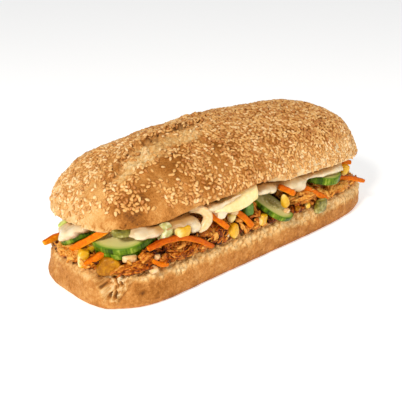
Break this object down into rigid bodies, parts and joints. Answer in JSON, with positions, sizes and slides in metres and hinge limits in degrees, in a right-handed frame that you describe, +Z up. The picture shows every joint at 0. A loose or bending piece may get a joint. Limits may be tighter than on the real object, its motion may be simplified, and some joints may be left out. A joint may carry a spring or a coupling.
{
  "type": "chicken sandwich",
  "caption": "Long sesame-topped roll cut open and filled with pulled chicken, mayonnaise, cucumber slices, carrot strips, sweetcorn, cheese and peppers.",
  "frame": {"origin": "middle of the bounding box on the plane the roll rests on", "axes": "+Z up, +X along the roll toward its right end as seen from the open side, -Y toward the open side where the filling shows"},
  "size_m": [0.224, 0.0982, 0.0757],
  "materials": {
    "crust": "browned bread crust with sesame seeds, pale crumb on the cut faces",
    "chicken": "moist pulled chicken in a red-brown spice coat",
    "mayonnaise": "glossy cream-white sauce",
    "cucumber": "wet pale green flesh with a darker green ridged skin",
    "carrot": "raw orange carrot, cut faces slightly moist",
    "sweetcorn": "smooth yellow kernel skin",
    "cheese": "smooth pale yellow, soft sheen",
    "pickle": "wet, slightly see-through olive green",
    "onion": "wet cream onion in sauce",
    "green_pepper": "wet dark green skin",
    "yellow_pepper": "wet deep yellow skin",
    "lettuce": "thin yellow-green leaf"
  },
  "bodies": {
    "root": {"bread_heel": "crust", "bread_lid": "crust", "carrot_arc": "carrot", "carrot_back_a": "carrot", "carrot_back_b": "carrot", "carrot_back_c": "carrot", "carrot_end_tip": "carrot", "carrot_left_long": "carrot", "carrot_left_low": "carrot", "carrot_middle_a": "carrot", "carrot_middle_b": "carrot", "carrot_right_a": "carrot", "carrot_right_end": "carrot", "carrot_right_low": "carrot", "carrot_right_tip": "carrot", "carrot_short": "carrot", "cheese_slice": "cheese", "corn_back_a": "sweetcorn", "corn_back_b": "sweetcorn", "corn_back_c": "sweetcorn", "corn_back_d": "sweetcorn", "corn_left_a": "sweetcorn", "corn_left_b": "sweetcorn", "corn_left_c": "sweetcorn", "corn_middle_a": "sweetcorn", "corn_middle_b": "sweetcorn", "corn_middle_c": "sweetcorn", "corn_middle_d": "sweetcorn", "corn_right_a": "sweetcorn", "corn_right_b": "sweetcorn", "corn_right_c": "sweetcorn", "corn_right_d": "sweetcorn", "cucumber_back_left": "cucumber", "cucumber_back_right": "cucumber", "cucumber_front_left": "cucumber", "cucumber_left_end": "cucumber", "cucumber_left_lower": "cucumber", "cucumber_left_upper": "cucumber", "cucumber_middle": "cucumber", "cucumber_right": "cucumber", "cucumber_right_end": "cucumber", "green_pepper_back": "green_pepper", "green_pepper_middle": "green_pepper", "lettuce_left": "lettuce", "mayonnaise": "mayonnaise", "onion_curl": "onion", "pickle_front": "pickle", "pickle_hanging": "pickle", "pickle_left": "pickle", "pulled_chicken": "chicken", "yellow_pepper_back": "yellow_pepper", "yellow_pepper_left": "yellow_pepper"}
  },
  "joints": []
}
